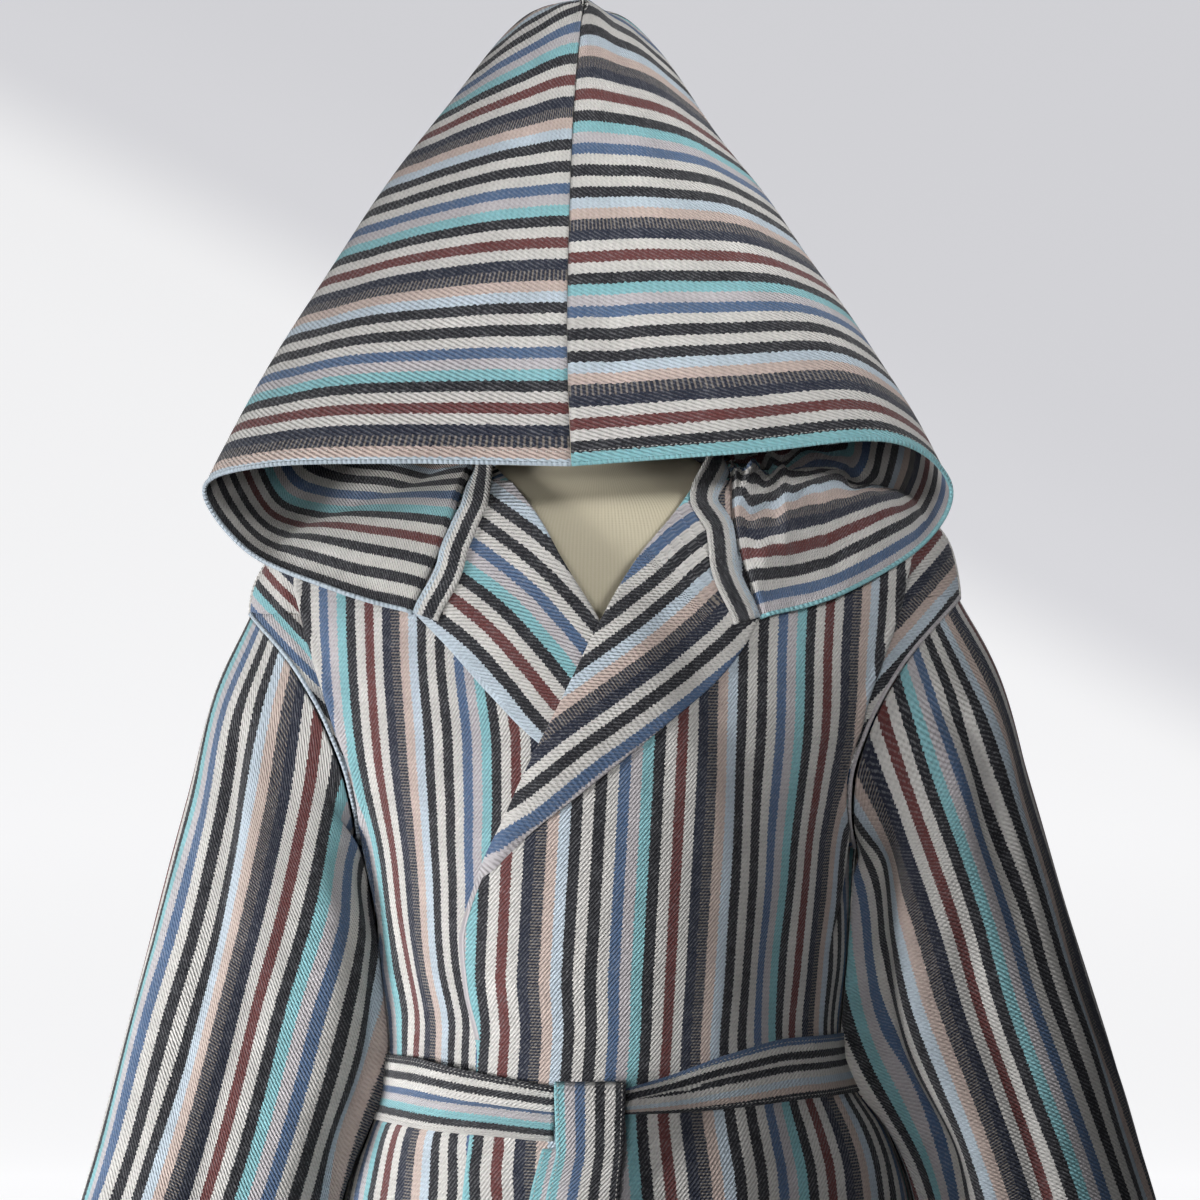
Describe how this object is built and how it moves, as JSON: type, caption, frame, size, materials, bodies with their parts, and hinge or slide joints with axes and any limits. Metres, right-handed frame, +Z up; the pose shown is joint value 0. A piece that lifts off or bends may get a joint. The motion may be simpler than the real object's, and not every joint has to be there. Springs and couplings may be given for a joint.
{
  "type": "hooded bathrobe on a dress form",
  "caption": "Striped hooded wrap bathrobe, tied with its own sash, worn by a limbless dress form on a round floor stand; hood, sleeves and skirt are open and hollow.",
  "frame": {"origin": "centre of the stand base's underside, on the floor", "axes": "+Z up, the robe faces -Y, the wearer's left is +X"},
  "size_m": [0.8147, 0.48, 1.8374],
  "materials": {
    "striped_cloth": "matt striped cotton weave",
    "form_jersey": "matt ribbed jersey",
    "stand_steel": "satin"
  },
  "bodies": {
    "root": {"front_right": "striped_cloth", "front_left": "striped_cloth", "back": "striped_cloth", "sleeve_right": "striped_cloth", "sleeve_left": "striped_cloth", "hood_right": "striped_cloth", "hood_left": "striped_cloth", "lapel_right": "striped_cloth", "lapel_left": "striped_cloth", "neck_tape": "striped_cloth", "belt_wrap": "striped_cloth", "belt_knot": "striped_cloth", "belt_tail_over": "striped_cloth", "belt_tail_under": "striped_cloth", "form_torso": "form_jersey", "form_neck_cap": "stand_steel", "hood_rod": "stand_steel", "hood_finial": "stand_steel", "stand_pole": "stand_steel", "stand_base": "stand_steel"}
  },
  "joints": []
}
